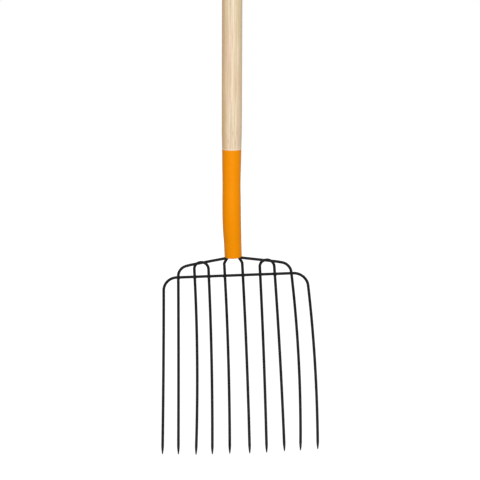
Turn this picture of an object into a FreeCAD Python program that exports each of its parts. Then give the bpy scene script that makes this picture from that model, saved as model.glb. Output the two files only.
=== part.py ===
import FreeCAD, Part
import math
import os

# Bedding fork: ten round steel tines on a long ash handle.
#
# Frame: millimetres, +Z up along the handle with the tines pointing down, -Y the hollow working face, +X to the
# right of someone who looks at that face. The origin is on the handle's axis, in the middle of its straight
# cylindrical stretch, where a tool clip or a hand holds it.
#
# The head is modelled upright in a frame of its own, with its origin in the middle of the ferrule's mouth. It is
# then set at the lower end of the bent ferrule. In that frame the rods lie in two layers, one rod apart: the
# crossbar and the shoulders behind, the eight inner tines in front.

V = FreeCAD.Vector

# Handle
handle_length = 1219.0
handle_diameter = 38.1
handle_neck_diameter = 36.6
handle_neck_length = 38.0
handle_butt_radius = 9.0
handle_butt_crown = 2.5
handle_end_recess = 8.0

# Ferrule, a tapered tube that is bent to the back and a little to the right on its way down
ferrule_wall = 1.5
ferrule_fit_clearance = 0.15
ferrule_top_diameter = 36.6
ferrule_collar_diameter = 35.4
ferrule_waist_diameter = 34.6
ferrule_bend_diameter = 35.4
ferrule_knee_diameter = 35.0
ferrule_lower_diameter = 33.9
ferrule_mouth_diameter = 33.4
ferrule_collar_length = 38.0
ferrule_waist_drop = 68.0
ferrule_upper_length = 101.0
ferrule_bend_radius = 450.0
ferrule_lower_length = 18.0
ferrule_mouth_length = 30.5
ferrule_waist_shift = -0.25
ferrule_lower_shift = 0.12
ferrule_back_angle = 7.5
ferrule_side_angle = 2.0

# Turn of the head in the ferrule's mouth, which swings the points a little further to the right
head_turn_angle = 1.3

# Handle rivet, driven in from the back
rivet_diameter = 4.0
rivet_length = 24.0
rivet_head_diameter = 8.6
rivet_head_height = 2.2
rivet_drop = 24.0
rivet_clearance = 0.1

# Rods
rod_diameter = 5.5
weld_gap = 0.3
shank_length = 70.0
shank_wood_web = 1.7
shank_clearance = 0.15

# Bends are made of short stretches between round rings, which turn and run no further than this from each other
bend_step_angle = 23.0
bend_step_length = 86.0

# Crossbar, shoulders and loops
crossbar_drop = 40.5
bow_corner_radius = 28.0
shoulder_rise = 21.2
shoulder_rim_clearance = 2.2
shoulder_mouth_radius = 6.6
shoulder_corner_radius = 20.0
shoulder_step_offset = 8.0
shoulder_step_radius = 30.0
flare_start_drop = 0.8
flare_drop = 12.5
flare_upper_radius = 6.6
flare_lower_radius = 9.0
left_flare_shift = 1.0
right_flare_shift = 0.0
loop_height = 31.6

# Tines, as half spacings at the crossbar and a pitch at the points, before the unevenness below
centre_tine_offset = 18.0
loop_inner_offset = 49.0
loop_width = 27.5
shoulder_tine_offset = 111.3
outer_tine_offset = 140.2
tip_centre_gap = 39.0
tip_pitch = 33.3
tip_row_shift = -4.9
tine_drop = 335.0
tine_dish_depth = 88.0
tine_weld_straight = 6.0
bow_corner_straight = 2.0
tine_point_length = 16.0
tine_point_end_diameter = 1.5
tine_point_set_back = 0.4
point_middle_share = 0.5
point_swell_share = 0.08

# Unevenness of the hand-set tines, from the left outer one to the right one: angle to the right at the crossbar,
# place on the crossbar and place of the point as shares of the tip pitch, and reach of the point as shares of the
# tines' drop
tine_lean_angles = (-4.4, -4.0, -1.4, -1.5, -0.5, -0.6, -0.6, 0.7, 3.3, 3.5)
root_drift_shares = (0.046, 0.055, -0.024, -0.022, -0.038, -0.044, 0.036, 0.061, -0.016, -0.009)
tip_drift_shares = (0.019, -0.042, -0.003, -0.038, -0.007, -0.002, -0.005, 0.043, -0.02, -0.006)
tip_reach_shares = (-0.004, 0.0, 0.006, 0.006, 0.005, 0.007, 0.005, -0.001, -0.003, -0.008)

# Weld metal
crossbar_weld_radius = 3.6
crossbar_weld_depth = 4.6
loop_weld_length = 13.0
loop_weld_radius = 2.4
shank_weld_radius = 1.9
shank_weld_length = 5.0

# Places on a path that lie closer together than this count as one
shortest_run = 0.001

# Worked out from the sizes above
rod_radius = rod_diameter / 2
layer_pitch = rod_diameter + weld_gap
front_layer = -layer_pitch / 2
back_layer = layer_pitch / 2
loop_outer_offset = loop_inner_offset + loop_width
tine_offsets = (centre_tine_offset, loop_inner_offset, loop_outer_offset, shoulder_tine_offset, outer_tine_offset)
tines_per_side = len(tine_offsets)
CENTRE, LOOP_INNER, LOOP_OUTER, SHOULDER, OUTER = range(tines_per_side)
back_tangent = math.tan(math.radians(ferrule_back_angle))
side_tangent = math.tan(math.radians(ferrule_side_angle))
bend_angle = math.degrees(math.atan(math.hypot(back_tangent, side_tangent)))
bend_heading = V(side_tangent, back_tangent, 0).normalize()
bend_axis = V(bend_heading.y, -bend_heading.x, 0)
ferrule_bend_length = ferrule_bend_radius * math.radians(bend_angle)
ferrule_bent_length = ferrule_upper_length + ferrule_bend_length
ferrule_length = ferrule_bent_length + ferrule_lower_length + ferrule_mouth_length
handle_inside_length = ferrule_length - handle_end_recess
handle_outside_length = handle_length - handle_inside_length
grip_length = handle_outside_length - handle_neck_length - handle_butt_radius - handle_butt_crown
ferrule_top_z = -(grip_length / 2 + handle_neck_length)

# Stations along the ferrule: distance below its top edge, with the outside diameter and the sideways shift there
ferrule_stations = (
    (0.0, ferrule_top_diameter, 0.0),
    (ferrule_collar_length, ferrule_collar_diameter, 0.0),
    (ferrule_waist_drop, ferrule_waist_diameter, ferrule_waist_shift),
    (ferrule_upper_length, ferrule_bend_diameter, 0.0),
    (ferrule_upper_length + ferrule_bend_length / 2, (ferrule_bend_diameter + ferrule_knee_diameter) / 2, 0.0),
    (ferrule_bent_length, ferrule_knee_diameter, 0.0),
    (ferrule_bent_length + ferrule_lower_length, ferrule_lower_diameter, ferrule_lower_shift),
    (ferrule_length, ferrule_mouth_diameter, 0.0),
)


def ferrule_place(distance):
    """Placement on the ferrule's centreline, at a distance below its top edge."""
    top = V(0, 0, ferrule_top_z)
    if distance <= ferrule_upper_length:
        return FreeCAD.Placement(top - V(0, 0, distance), FreeCAD.Rotation())
    bent = min(distance - ferrule_upper_length, ferrule_bend_length)
    angle = bent / ferrule_bend_radius
    across = ferrule_bend_radius * (1 - math.cos(angle))
    down = ferrule_upper_length + ferrule_bend_radius * math.sin(angle)
    turn = FreeCAD.Rotation(bend_axis, math.degrees(angle))
    beyond = distance - ferrule_upper_length - bent
    place = top + bend_heading * across - V(0, 0, down) + turn.multVec(V(0, 0, -beyond))
    return FreeCAD.Placement(place, turn)


def ferrule_section(distance):
    """Outside diameter and sideways shift of the ferrule at a distance below its top edge."""
    for (low, low_diameter, low_shift), (high, high_diameter, high_shift) in zip(
        ferrule_stations, ferrule_stations[1:]
    ):
        if distance <= high:
            share = (distance - low) / (high - low)
            return low_diameter + (high_diameter - low_diameter) * share, low_shift + (high_shift - low_shift) * share
    return ferrule_mouth_diameter, 0.0


def ferrule_core(inset, last):
    """Solid along the ferrule's centreline, smaller than its outside by an inset, down to a last distance."""
    distances = [station[0] for station in ferrule_stations if station[0] < last] + [last]
    wires = []
    for distance in distances:
        diameter, shift = ferrule_section(distance)
        wire = Part.Wire([Part.makeCircle(diameter / 2 - inset)])
        wire.Placement = ferrule_place(distance).multiply(FreeCAD.Placement(V(shift, 0, 0), FreeCAD.Rotation()))
        wires.append(wire)
    return Part.makeLoft(wires, True, True)


def path_places(points, radii):
    """Places on a rod's path through points, each turned square to the path: both ends, and places along every
    bend. Each point between the ends is rounded to its radius."""
    turn = FreeCAD.Rotation(V(0, 0, 1), points[1] - points[0])
    places = [FreeCAD.Placement(points[0], turn)]
    for before, corner, after, radius in zip(points, points[1:], points[2:], radii):
        arriving = (corner - before).normalize()
        leaving = (after - corner).normalize()
        angle = arriving.getAngle(leaving)
        axis = arriving.cross(leaving).normalize()
        start = corner - arriving * (radius * math.tan(angle / 2))
        centre = start + axis.cross(arriving) * radius
        steps = math.ceil(max(math.degrees(angle) / bend_step_angle, angle * radius / bend_step_length))
        for number in range(steps + 1):
            bend = FreeCAD.Rotation(axis, math.degrees(angle * number / steps))
            places.append(FreeCAD.Placement(centre + bend.multVec(start - centre), bend.multiply(turn)))
        turn = bend.multiply(turn)
    places.append(FreeCAD.Placement(points[-1], turn))
    pairs = zip(places, places[1:])
    return places[:1] + [place for before, place in pairs if (place.Base - before.Base).Length > shortest_run]


def beyond(place, distance, set_back):
    """Place moved along its own heading, and to the back."""
    moved = place.multiply(FreeCAD.Placement(V(0, 0, distance), FreeCAD.Rotation()))
    return FreeCAD.Placement(moved.Base + V(0, set_back, 0), moved.Rotation)


def ground_point(place, away):
    """Rings of a tine's point, ground mostly from the front to a slender taper with a blunt end."""
    end_radius = tine_point_end_diameter / 2
    middle_radius = (rod_radius + end_radius) / 2 + rod_radius * point_swell_share
    middle_length = tine_point_length * point_middle_share
    middle = beyond(place, away * middle_length, tine_point_set_back * point_middle_share)
    return [(middle, middle_radius), (beyond(place, away * tine_point_length, tine_point_set_back), end_radius)]


def plain_end(place, away):
    """Rings beyond a sawn end: none."""
    return []


def finished_rod(points, radii, first_end, last_end):
    """One solid of a rod through points, with the rings that each end's function adds beyond it."""
    places = path_places(points, radii)
    rings = list(reversed(first_end(places[0], -1)))
    rings += [(place, rod_radius) for place in places]
    rings += last_end(places[-1], 1)
    wires = []
    for place, radius in rings:
        wire = Part.Wire([Part.makeCircle(radius)])
        wire.Placement = place
        wires.append(wire)
    return Part.makeLoft(wires, True, True)


def tine_number(side, order):
    """Place of a tine in the row from left to right, from its side and its order outwards."""
    return tines_per_side + order if side > 0 else tines_per_side - 1 - order


def tine_heading(side, order):
    """Direction in which a tine leaves the crossbar."""
    lean = math.radians(tine_lean_angles[tine_number(side, order)])
    return V(math.sin(lean), 0, -math.cos(lean))


def tine_apex(side, order):
    """Outermost end of a tine's point."""
    number = tine_number(side, order)
    even = side * (tip_centre_gap / 2 + order * tip_pitch)
    across = even + tip_row_shift + tip_drift_shares[number] * tip_pitch
    down = tine_drop * (1 + tip_reach_shares[number])
    return V(across, front_layer - tine_dish_depth, -crossbar_drop - down)


def dished_tine(side, order, start):
    """Corner, bend radius and base of the point of a tine that curves from a start towards its apex.

    The bend's two tangents are equal, and the second runs on by the length of the point."""
    heading = tine_heading(side, order)
    reach = tine_apex(side, order) - start
    along = reach.dot(heading)
    tangent = (reach.dot(reach) - tine_point_length**2) / (2 * (along + tine_point_length))
    corner = start + heading * tangent
    leaving = (tine_apex(side, order) - corner).normalize()
    radius = tangent / math.tan(heading.getAngle(leaving) / 2)
    base = corner + leaving * tangent
    return corner, radius, base


def crossing(side, order, layer):
    """Where a tine's line meets the crossbar's height, in one of the two layers."""
    drift = root_drift_shares[tine_number(side, order)] * tip_pitch
    return V(side * tine_offsets[order] + drift, layer, -crossbar_drop)


def above_crossing(side, order, layer, height):
    """Point on a tine's straight upper stretch, at a height over the crossbar."""
    heading = tine_heading(side, order)
    return crossing(side, order, layer) + heading * (height / heading.z)


def mouth_inner_radius():
    """Inside radius of the ferrule's mouth."""
    return ferrule_mouth_diameter / 2 - ferrule_wall


def shank_offset():
    """Distance of each pair of shanks from the ferrule's axis, so that the wood outside them stays thick enough."""
    reach = mouth_inner_radius() - shank_wood_web - rod_radius
    return math.sqrt(reach**2 - (layer_pitch / 2) ** 2)


def shank_top(side, layer):
    """Upper end of a shank, inside the handle."""
    return V(side * shank_offset(), layer, shank_length)


def outer_tine_bow():
    """The two outer tines and the crossbar, bent from one rod that lies behind the other tines."""
    halves = {}
    for side in (-1, 1):
        corner = crossing(side, OUTER, back_layer)
        heading = tine_heading(side, OUTER)
        turn = V(side, 0, 0).getAngle(heading)
        start = corner + heading * (bow_corner_radius * math.tan(turn / 2) + bow_corner_straight)
        halves[side] = (corner, *dished_tine(side, OUTER, start))
    left_corner, left_dish, left_radius, left_base = halves[-1]
    right_corner, right_dish, right_radius, right_base = halves[1]
    points = [left_base, left_dish, left_corner, right_corner, right_dish, right_base]
    radii = [left_radius, bow_corner_radius, bow_corner_radius, right_radius]
    return finished_rod(points, radii, ground_point, ground_point)


def shoulder_corner(side):
    """Corner between a shoulder and its tine."""
    return above_crossing(side, SHOULDER, front_layer, shoulder_rise)


def shoulder_mouth_corner(side):
    """Corner between a shank and its shoulder, low enough for the shoulder to clear the ferrule's rim."""
    corner = shoulder_corner(side)
    rim_share = (ferrule_mouth_diameter / 2 - shank_offset()) / (side * corner.x - shank_offset())
    rim_drop = rod_radius + shoulder_rim_clearance
    drop = (rim_drop + rim_share * corner.z) / (1 - rim_share)
    return V(side * shank_offset(), back_layer, -drop)


def shoulder_point(side, offset, layer):
    """Point on the shoulder's straight line, seen from the front, at an offset from the middle."""
    start = shoulder_mouth_corner(side)
    end = shoulder_corner(side)
    share = (offset - side * start.x) / (side * (end.x - start.x))
    return V(side * offset, layer, start.z + (end.z - start.z) * share)


def shoulder_tine(side):
    """Shank, shoulder and second tine from the outside. The shoulder runs in the back layer under the loop, then
    steps forward so that its tine crosses in front of the crossbar."""
    start = crossing(side, SHOULDER, front_layer) + tine_heading(side, SHOULDER) * tine_weld_straight
    dish, radius, base = dished_tine(side, SHOULDER, start)
    step = shoulder_point(side, loop_outer_offset + shoulder_step_offset, back_layer)
    points = [shank_top(side, back_layer), shoulder_mouth_corner(side), step, shoulder_corner(side), dish, base]
    radii = [shoulder_mouth_radius, shoulder_step_radius, shoulder_corner_radius, radius]
    return finished_rod(points, radii, plain_end, ground_point)


def centre_tine(side):
    """Shank and middle tine, which flares out below the ferrule's mouth and then runs straight down."""
    start = crossing(side, CENTRE, front_layer) + tine_heading(side, CENTRE) * tine_weld_straight
    dish, radius, base = dished_tine(side, CENTRE, start)
    flare_top = V(side * shank_offset(), front_layer, -flare_start_drop)
    flare_shift = left_flare_shift if side < 0 else right_flare_shift
    flare_end = above_crossing(side, CENTRE, front_layer, crossbar_drop - flare_drop) + V(flare_shift, 0, 0)
    points = [shank_top(side, front_layer), flare_top, flare_end, dish, base]
    radii = [flare_upper_radius, flare_lower_radius, radius]
    return finished_rod(points, radii, plain_end, ground_point)


def tine_loop(side):
    """Two tines joined at the top by a half round, in front of the crossbar and of the shoulder."""
    legs = []
    for order in (LOOP_INNER, LOOP_OUTER):
        start = crossing(side, order, front_layer) + tine_heading(side, order) * tine_weld_straight
        top = above_crossing(side, order, front_layer, loop_height)
        legs.append((top, *dished_tine(side, order, start)))
    inner_top, inner_dish, inner_radius, inner_base = legs[0]
    outer_top, outer_dish, outer_radius, outer_base = legs[1]
    across = outer_top - inner_top
    inner_turn = (inner_top - inner_dish).getAngle(across)
    outer_turn = across.getAngle(outer_dish - outer_top)
    top_radius = across.Length / (math.tan(inner_turn / 2) + math.tan(outer_turn / 2))
    points = [inner_base, inner_dish, inner_top, outer_top, outer_dish, outer_base]
    radii = [inner_radius, top_radius, top_radius, outer_radius]
    return finished_rod(points, radii, ground_point, ground_point)


def crossbar_welds(rods):
    """Weld metal in the corners of the eight crossings of tines and crossbar."""
    beads = []
    for side in (-1, 1):
        for order in (CENTRE, LOOP_INNER, LOOP_OUTER, SHOULDER):
            back = crossing(side, order, -crossbar_weld_depth / 2)
            bead = Part.makeCylinder(crossbar_weld_radius, crossbar_weld_depth, back, V(0, 1, 0))
            beads.append(trimmed(bead, rods))
    return beads


def loop_welds(rods):
    """Weld metal between the top of each loop and the shoulder behind it."""
    beads = []
    for side in (-1, 1):
        middle_offset = (loop_inner_offset + loop_outer_offset) / 2
        low = shoulder_point(side, middle_offset, 0)
        along = (shoulder_point(side, loop_outer_offset, 0) - low).normalize()
        middle = V(low.x, 0, (low.z + loop_height - crossbar_drop) / 2)
        start = middle - along * (loop_weld_length / 2)
        bead = Part.makeCylinder(loop_weld_radius, loop_weld_length, start, along)
        beads.append(trimmed(bead, rods))
    return beads


def shank_welds(rods):
    """Weld metal in the groove between the front and back shank of each pair, just inside the mouth."""
    beads = []
    for side in (-1, 1):
        groove = V(side * (shank_offset() - shank_weld_radius), 0, handle_end_recess - shank_weld_length)
        bead = Part.makeCylinder(shank_weld_radius, shank_weld_length - weld_gap, groove, V(0, 0, 1))
        beads.append(trimmed(bead, rods))
    return beads


def trimmed(bead, rods):
    """Bead of weld metal without the rods that it joins."""
    near = [piece for piece in rods if piece.BoundBox.intersect(bead.BoundBox)]
    return bead.cut(near)


def handle():
    """Ash handle: a straight round pole with a crowned butt, a slight neck and a stub that fills the ferrule."""
    radius = handle_diameter / 2
    neck_radius = handle_neck_diameter / 2
    shoulder_z = ferrule_top_z
    neck_z = shoulder_z + handle_neck_length
    butt_z = neck_z + grip_length
    rim_z = butt_z + handle_butt_radius
    rim_radius = radius - handle_butt_radius
    diagonal = handle_butt_radius * math.sqrt(1 / 2)
    crown_radius = (rim_radius**2 + handle_butt_crown**2) / (2 * handle_butt_crown)
    crown_top = rim_z + handle_butt_crown
    half_crown = math.asin(rim_radius / crown_radius) / 2
    crown_middle = V(crown_radius * math.sin(half_crown), 0, crown_top - crown_radius * (1 - math.cos(half_crown)))
    outline = Part.Wire([
        Part.makeLine(V(0, 0, shoulder_z), V(neck_radius, 0, shoulder_z)),
        Part.makeLine(V(neck_radius, 0, shoulder_z), V(radius, 0, neck_z)),
        Part.makeLine(V(radius, 0, neck_z), V(radius, 0, butt_z)),
        Part.Arc(
            V(radius, 0, butt_z), V(rim_radius + diagonal, 0, butt_z + diagonal), V(rim_radius, 0, rim_z)
        ).toShape(),
        Part.Arc(V(rim_radius, 0, rim_z), crown_middle, V(0, 0, crown_top)).toShape(),
        Part.makeLine(V(0, 0, crown_top), V(0, 0, shoulder_z)),
    ])
    pole = Part.Face(outline).revolve(V(0, 0, 0), V(0, 0, 1), 360)
    stub = ferrule_core(ferrule_wall + ferrule_fit_clearance, handle_inside_length)
    body = pole.fuse(stub).removeSplitter()
    for side in (-1, 1):
        body = body.cut(shank_bore(side))
    return body.cut(rivet_shank(rivet_clearance))


def shank_bore(side):
    """Long hole in the handle's lower end for one pair of shanks."""
    radius = rod_radius + shank_clearance
    length = shank_length + shank_clearance
    front = Part.makeCylinder(radius, length, V(side * shank_offset(), front_layer, 0))
    back = Part.makeCylinder(radius, length, V(side * shank_offset(), back_layer, 0))
    web = Part.makeBox(2 * radius, layer_pitch, length, V(side * shank_offset() - radius, front_layer, 0))
    bore = front.fuse([back, web]).removeSplitter()
    return in_head_place(bore)


def ferrule():
    """Bent tapered tube that grips the handle's end."""
    tube = ferrule_core(0, ferrule_length).cut(ferrule_core(ferrule_wall, ferrule_length))
    return tube.cut(rivet_shank(rivet_clearance))


def rivet_back():
    """Distance from the handle's axis to the outside of the ferrule, at the rivet."""
    return ferrule_section(rivet_drop)[0] / 2


def rivet_shank(clearance):
    """Round shank of the rivet, larger by a clearance, from outside the ferrule into the handle."""
    depth = rivet_back() - rivet_length
    start = V(0, depth - clearance, ferrule_top_z - rivet_drop)
    return Part.makeCylinder(rivet_diameter / 2 + clearance, rivet_length + rivet_head_height, start, V(0, 1, 0))


def handle_rivet():
    """Round rivet with a low domed head, seated on the back of the ferrule."""
    head_radius = rivet_head_diameter / 2
    dome_radius = (head_radius**2 + rivet_head_height**2) / (2 * rivet_head_height)
    crown = rivet_back() + rivet_head_height
    centre = V(0, crown - dome_radius, ferrule_top_z - rivet_drop)
    under = V(0, rivet_back() - rivet_head_height, centre.z)
    dome = Part.makeSphere(dome_radius, centre)
    blank = Part.makeCylinder(head_radius, 2 * rivet_head_height, under, V(0, 1, 0))
    head = blank.common(dome).cut(ferrule_core(0, ferrule_length))
    end = V(0, rivet_back() - rivet_length, centre.z)
    shank = Part.makeCylinder(rivet_diameter / 2, rivet_length + rivet_head_height / 2, end, V(0, 1, 0))
    return head.fuse(shank).removeSplitter()


def in_head_place(shape):
    """Shape of the head's frame, set at the ferrule's mouth and turned a little in it."""
    turn = FreeCAD.Placement(V(0, 0, 0), FreeCAD.Rotation(V(0, 1, 0), -head_turn_angle))
    placed = shape.copy()
    placed.Placement = ferrule_place(ferrule_length).multiply(turn).multiply(shape.Placement)
    return placed


def export(name, solids):
    """Writes one named piece, or one group of like pieces, as a STEP file."""
    shape = solids[0] if len(solids) == 1 else Part.makeCompound(solids)
    shape.exportStep(os.path.join("parts", name + ".step"))
    volume = sum(solid.Volume for solid in solids)
    print(f"{name}: {len(solids)} solid(s), {volume:.0f} mm3, valid {shape.isValid()}")


def main():
    """Builds every piece and writes it."""
    os.makedirs("parts", exist_ok=True)
    rods = {
        "outer_tine_bow": outer_tine_bow(),
        "left_shoulder_tine": shoulder_tine(-1),
        "right_shoulder_tine": shoulder_tine(1),
        "left_tine_loop": tine_loop(-1),
        "right_tine_loop": tine_loop(1),
        "left_centre_tine": centre_tine(-1),
        "right_centre_tine": centre_tine(1),
    }
    rod_shapes = list(rods.values())
    groups = {
        "crossbar_welds": crossbar_welds(rod_shapes),
        "loop_welds": loop_welds(rod_shapes),
        "shank_welds": shank_welds(rod_shapes),
    }
    export("handle", [handle()])
    export("ferrule", [ferrule()])
    export("handle_rivet", [handle_rivet()])
    for name, shape in rods.items():
        export(name, [in_head_place(shape)])
    for name, shapes in groups.items():
        export(name, [in_head_place(shape) for shape in shapes])


main()
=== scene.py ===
import logging
import math
from collections.abc import Callable, Sequence
from dataclasses import dataclass
from enum import Enum
from typing import Any

import bmesh
import bpy
from mathutils import Matrix, Quaternion, Vector
from mathutils.kdtree import KDTree


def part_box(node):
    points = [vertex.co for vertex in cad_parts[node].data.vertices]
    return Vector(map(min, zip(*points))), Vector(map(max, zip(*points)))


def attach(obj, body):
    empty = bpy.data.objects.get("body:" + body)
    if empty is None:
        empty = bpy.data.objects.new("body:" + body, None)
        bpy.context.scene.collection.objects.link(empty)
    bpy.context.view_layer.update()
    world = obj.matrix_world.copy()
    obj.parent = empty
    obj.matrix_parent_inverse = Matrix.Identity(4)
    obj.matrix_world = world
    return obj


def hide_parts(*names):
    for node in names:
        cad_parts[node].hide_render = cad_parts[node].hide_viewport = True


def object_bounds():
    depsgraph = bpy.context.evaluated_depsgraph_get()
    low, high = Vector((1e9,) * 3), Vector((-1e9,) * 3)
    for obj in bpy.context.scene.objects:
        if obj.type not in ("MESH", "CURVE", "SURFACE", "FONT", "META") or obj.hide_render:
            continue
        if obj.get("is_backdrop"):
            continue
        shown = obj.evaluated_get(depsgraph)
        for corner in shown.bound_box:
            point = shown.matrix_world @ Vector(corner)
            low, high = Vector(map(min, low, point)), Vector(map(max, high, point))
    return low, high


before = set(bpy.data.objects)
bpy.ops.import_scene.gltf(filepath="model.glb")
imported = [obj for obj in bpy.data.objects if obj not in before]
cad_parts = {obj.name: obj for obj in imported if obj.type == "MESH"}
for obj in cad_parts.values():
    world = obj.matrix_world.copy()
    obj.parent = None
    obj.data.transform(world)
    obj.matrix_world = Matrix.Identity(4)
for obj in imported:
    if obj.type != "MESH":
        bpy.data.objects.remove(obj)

# Looks of a bedding fork: a turned ash handle, a bent steel ferrule in orange powder coat, and ten
# round tines of black painted rod. Everything is in metres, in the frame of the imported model: +Z up
# along the handle, -Y towards the hollow working face.

MILLIMETRE = 0.001
MERGE_DISTANCE = 0.01 * MILLIMETRE
SHARP_ANGLE = math.radians(40.0)
IMAGE_PIXELS = 480
WHITE = (1.0, 1.0, 1.0, 1.0)

log = logging.getLogger("bedding_fork")

Tree = bpy.types.NodeTree
Socket = bpy.types.NodeSocket
Piece = bpy.types.Object
Inputs = dict[str | int, Any]
Pairs = Sequence[tuple[float, float]]
Triple = tuple[float, float, float]


class Slot(Enum):
    """Names of material slots."""

    ASH = "ash_wood"
    ORANGE = "orange_paint"
    BLACK = "black_paint"
    WELD = "weld_paint"
    RIVET = "rivet_steel"


class Pointed(Enum):
    """Which ends of a rod are ground to a tine's point."""

    LAST = (False, True)
    BOTH = (True, True)


# Node trees


def set_inputs(tree: Tree, node: bpy.types.Node, inputs: Inputs) -> None:
    """Sets or joins a node's inputs.

    Args:
        tree: the node's tree.
        node: the node.
        inputs: values or sockets by the input's name or place.
    """
    for key, value in inputs.items():
        if isinstance(value, Socket):
            tree.links.new(value, node.inputs[key])
        else:
            node.inputs[key].default_value = value


def add_node(tree: Tree, kind: str, inputs: Inputs | None = None, **settings: Any) -> bpy.types.Node:
    """Adds a node, with its inputs set or joined.

    Args:
        tree: the tree that gets the node.
        kind: the node's type name.
        inputs: values or sockets by the input's name or place.
        settings: the node's own properties.

    Returns:
        The new node.
    """
    made = tree.nodes.new(kind)
    for name, value in settings.items():
        setattr(made, name, value)
    set_inputs(tree, made, inputs or {})
    return made


def calculate(tree: Tree, operation: str, *values: float | Socket, clamp: bool = False) -> Socket:
    """Adds a Math node.

    Args:
        tree: the tree that gets the node.
        operation: the Math node's operation.
        values: numbers or sockets, in the node's order.
        clamp: whether the result is kept from 0 to 1.

    Returns:
        The result's socket.
    """
    inputs = dict(enumerate(values))
    return add_node(tree, "ShaderNodeMath", inputs, operation=operation, use_clamp=clamp).outputs[0]


def calculate_vector(tree: Tree, operation: str, *values: Triple | Socket) -> Socket:
    """Adds a Vector Math node.

    Args:
        tree: the tree that gets the node.
        operation: the Vector Math node's operation.
        values: vectors or sockets, in the node's order.

    Returns:
        The socket of the result, which is a number for a length and a vector otherwise.
    """
    node = add_node(tree, "ShaderNodeVectorMath", dict(enumerate(values)), operation=operation)
    return node.outputs["Value" if operation == "LENGTH" else "Vector"]


def map_range(
    tree: Tree, value: Socket, low: float, high: float, start: float = 0.0, end: float = 1.0
) -> Socket:
    """Adds a Map Range node, which stays at its low and high results outside the range.

    Args:
        tree: the tree that gets the node.
        value: what the node reads.
        low: the result at the range's start.
        high: the result at the range's end.
        start: the value where the range starts.
        end: the value where the range ends.

    Returns:
        The result's socket.
    """
    return add_node(tree, "ShaderNodeMapRange", {
        "Value": value, "From Min": start, "From Max": end, "To Min": low, "To Max": high,
    }).outputs["Result"]


def blend_colours(
    tree: Tree,
    share: float | Socket,
    first: Triple | Socket,
    second: Triple | Socket,
    blend_type: str = "MIX",
) -> Socket:
    """Adds a Mix node for colours.

    Args:
        tree: the tree that gets the node.
        share: how much of the second colour shows.
        first: colour or socket.
        second: colour or socket.
        blend_type: the Mix node's way to blend.

    Returns:
        The mixed colour's socket.
    """
    under, over = (colour if isinstance(colour, Socket) else (*colour, 1.0) for colour in (first, second))
    inputs = {"Factor": share, 6: under, 7: over}
    return add_node(tree, "ShaderNodeMix", inputs, data_type="RGBA", blend_type=blend_type).outputs[2]


def add_ramp(tree: Tree, value: Socket, stops: Pairs) -> Socket:
    """Adds a Color Ramp node in grey.

    Args:
        tree: the tree that gets the node.
        value: what the ramp reads.
        stops: places from 0 to 1, each with a grey level.

    Returns:
        The ramp's colour socket.
    """
    ramp = add_node(tree, "ShaderNodeValToRGB", {"Fac": value})
    elements = ramp.color_ramp.elements
    while len(elements) < len(stops):
        elements.new(1.0)
    for element, (place, level) in zip(elements, stops):
        element.position = place
        element.color = (level, level, level, 1.0)
    return ramp.outputs["Color"]


def bumped(tree: Tree, height: Socket, depth: float) -> Socket:
    """Adds a Bump node.

    Args:
        tree: the tree that gets the node.
        height: height from 0 to 1.
        depth: the height's full depth in metres.

    Returns:
        The normal's socket.
    """
    bump = add_node(tree, "ShaderNodeBump", {"Height": height, "Strength": 1.0, "Distance": depth})
    return bump.outputs["Normal"]


def new_material(name: str) -> tuple[bpy.types.Material, Tree, bpy.types.Node]:
    """Starts a material.

    Args:
        name: the material's name.

    Returns:
        The material, its tree and its Principled BSDF node.
    """
    material = bpy.data.materials.new(name)
    material.use_nodes = True
    return material, material.node_tree, material.node_tree.nodes["Principled BSDF"]


# Painted and plain steel

# Each layer of the coat's surface: its output, the input for its size, that size and its finer octaves.
COAT_LAYERS = (
    ("Peel Height", "Peel Size", 1.2 * MILLIMETRE, 2.0),
    ("Speck Mask", "Speck Size", 4.0 * MILLIMETRE, 3.0),
    ("Patch Mask", "Patch Size", 50.0 * MILLIMETRE, 4.0),
)
SPECK_START = 0.55
SPECK_FULL = 0.75


def coat_texture() -> Tree:
    """Builds the group that gives steel its surface: a fine peel, soft specks and uneven gloss.

    Returns:
        The shader node group.
    """
    name = "coat_texture"
    if name in bpy.data.node_groups:
        return bpy.data.node_groups[name]
    tree = bpy.data.node_groups.new(name, "ShaderNodeTree")
    for layer, size_input, size, _ in COAT_LAYERS:
        made = tree.interface.new_socket(name=size_input, in_out="INPUT", socket_type="NodeSocketFloat")
        made.default_value = size
        tree.interface.new_socket(name=layer, in_out="OUTPUT", socket_type="NodeSocketFloat")
    given = tree.nodes.new("NodeGroupInput").outputs
    place = add_node(tree, "ShaderNodeTexCoord").outputs["Object"]
    results = {}
    for layer, size_input, _, detail in COAT_LAYERS:
        scale = calculate(tree, "DIVIDE", 1.0, given[size_input])
        noise = add_node(tree, "ShaderNodeTexNoise", {"Vector": place, "Scale": scale, "Detail": detail})
        results[layer] = noise.outputs["Fac"]
    results["Speck Mask"] = map_range(tree, results["Speck Mask"], 0.0, 1.0, SPECK_START, SPECK_FULL)
    add_node(tree, "NodeGroupOutput", results)
    return tree


@dataclass(frozen=True)
class CoatFinish:
    """Paint or powder coat on steel."""

    name: str
    colour: Triple
    dusty_colour: Triple
    roughness: tuple[float, float]
    peel_size: float
    peel_depth: float
    specular: float

    def material(self) -> bpy.types.Material:
        """Builds the coat's material.

        Returns:
            The material.
        """
        material, tree, shader = new_material(self.name)
        sizes = {"Peel Size": self.peel_size}
        surface = add_node(tree, "ShaderNodeGroup", sizes, node_tree=coat_texture()).outputs
        dust = calculate(tree, "MULTIPLY", surface["Speck Mask"], surface["Patch Mask"])
        set_inputs(tree, shader, {
            "Base Color": blend_colours(tree, dust, self.colour, self.dusty_colour),
            "Roughness": map_range(tree, surface["Patch Mask"], *self.roughness),
            "Normal": bumped(tree, surface["Peel Height"], self.peel_depth),
            "Specular IOR Level": self.specular,
        })
        return material


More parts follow.
